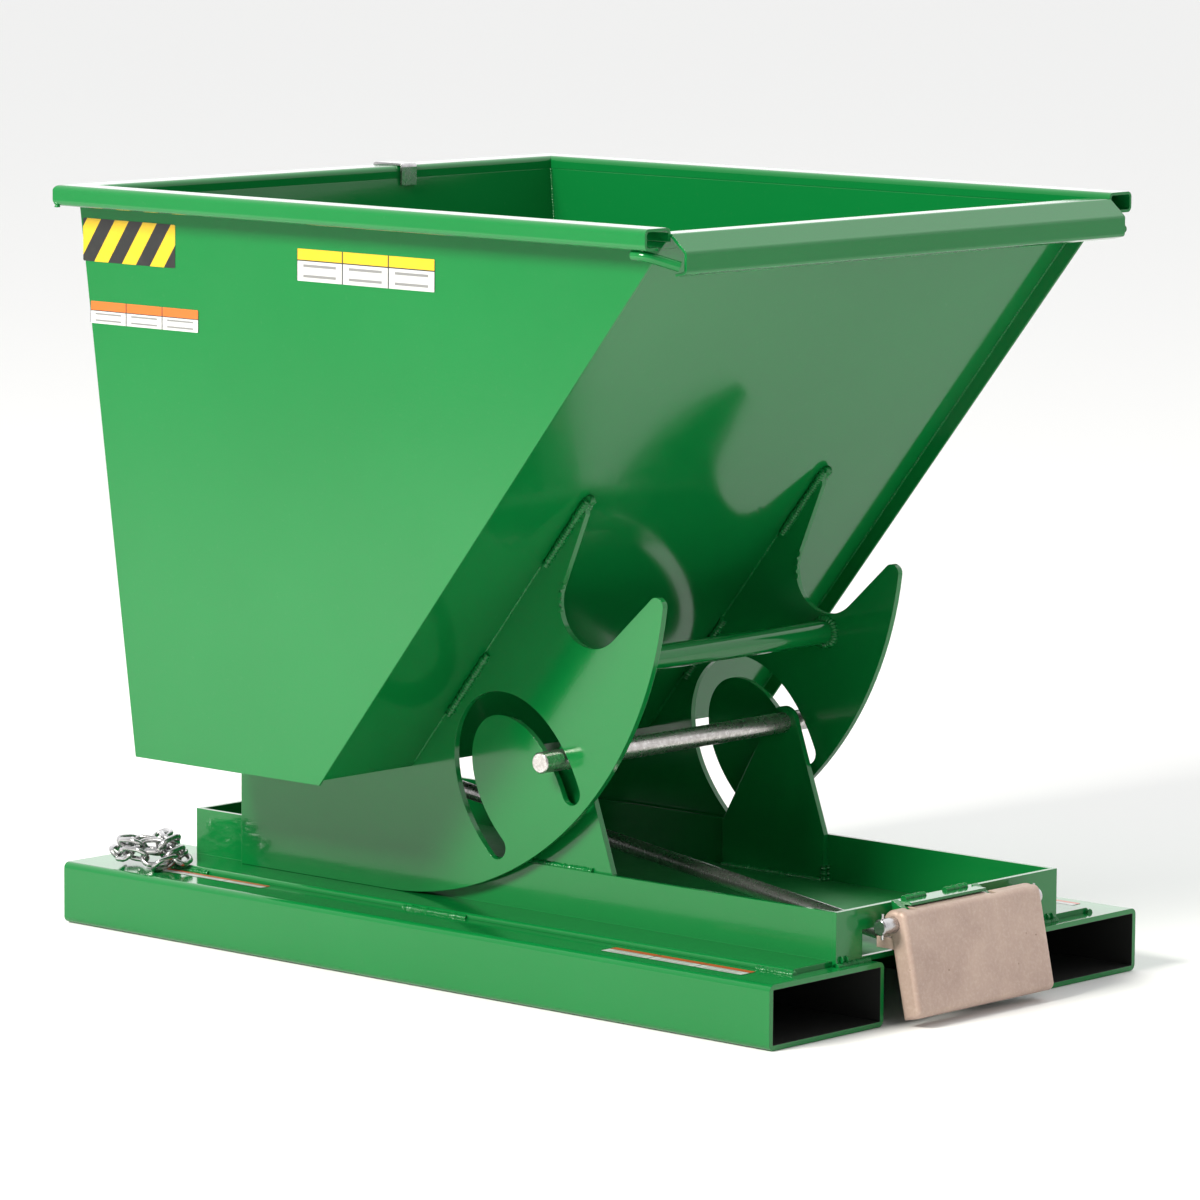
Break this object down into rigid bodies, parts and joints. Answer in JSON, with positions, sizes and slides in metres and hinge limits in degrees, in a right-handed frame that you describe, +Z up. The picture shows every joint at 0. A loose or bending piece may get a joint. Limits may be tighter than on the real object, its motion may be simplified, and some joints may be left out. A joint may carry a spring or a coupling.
{
  "type": "self-dumping hopper",
  "caption": "Steel tipping hopper with fork pockets: a sloped tub on rocker plates rolls forward along its base to pour over the front lip.",
  "frame": {"origin": "on the floor, at the middle of the overall length and width", "axes": "+X the way the tub dumps, +Y to its left, +Z up"},
  "size_m": [1.2012, 0.89, 0.934],
  "materials": {
    "green_paint": "gloss powder coat",
    "raw_block": "raw, lightly pitted",
    "dark_steel": "mill finish, dull",
    "bright_steel": "ground",
    "zinc": "zinc plated"
  },
  "bodies": {
    "base": {"fork_tube_right": "green_paint", "fork_tube_left": "green_paint", "rail_right": "green_paint", "rail_left": "green_paint", "tray_floor": "green_paint", "front_plate": "green_paint", "rear_plate": "green_paint", "upright_right": "green_paint", "upright_left": "green_paint", "guide_rod": "bright_steel", "bumper_lugs": "green_paint", "lug_bridge": "green_paint", "bumper_pin": "zinc", "bumper_cotters": "zinc", "bar_guides": "dark_steel", "latch_bearings": "dark_steel", "latch_spring": "zinc", "safety_chain": "zinc"},
    "carriage": {"side_patch_right": "green_paint", "side_patch_left": "green_paint"},
    "tub": {"side_sheet_right": "green_paint", "side_sheet_left": "green_paint", "bottom_sheet": "green_paint", "front_sheet": "green_paint", "rear_sheet": "green_paint", "pouring_lip": "green_paint", "rim_right": "green_paint", "rim_left": "green_paint", "rim_rear": "green_paint", "corner_bar_right": "green_paint", "corner_bar_left": "green_paint", "rocker_right": "green_paint", "rocker_left": "green_paint", "cross_tube": "green_paint", "catch_ears": "green_paint", "catch_pin": "dark_steel", "rim_clip": "zinc"},
    "bumper": {"bumper_block": "raw_block", "push_arm": "raw_block"},
    "release": {"release_bar": "dark_steel"},
    "latch": {"latch_shaft": "dark_steel", "latch_arm": "dark_steel", "latch_hook": "dark_steel"}
  },
  "joints": [
    {"name": "carriage_travel", "type": "slide", "parent": "base", "child": "carriage", "axis": [1, 0, 0], "range_m": [0, 0.584]},
    {"name": "tub_roll", "type": "hinge", "parent": "carriage", "child": "tub", "pos_m": [-0.15263, 0, 0.52285], "axis": [0, 1, 0], "range_deg": [0, 76]},
    {"name": "bumper_swing", "type": "hinge", "parent": "base", "child": "bumper", "pos_m": [0.55937, 0, 0.118], "axis": [0, 1, 0], "range_deg": [0, 18], "stiffness_Nm_per_rad": 20, "springref_deg": -6.88},
    {"name": "bar_push", "type": "slide", "parent": "base", "child": "release", "axis": [-0.9815, 0.1776, 0.0717], "range_m": [0, 0.0083]},
    {"name": "latch_turn", "type": "hinge", "parent": "base", "child": "latch", "pos_m": [-0.40963, 0, 0.13], "axis": [0, -1, 0], "range_deg": [0, 17]}
  ],
  "couplings": [
    {"joint": "carriage_travel", "follows": "tub_roll", "m_per_rad": 0.44},
    {"joint": "bar_push", "follows": "bumper_swing", "m_per_rad": 0.026},
    {"joint": "latch_turn", "follows": "bumper_swing", "ratio": 0.93}
  ]
}
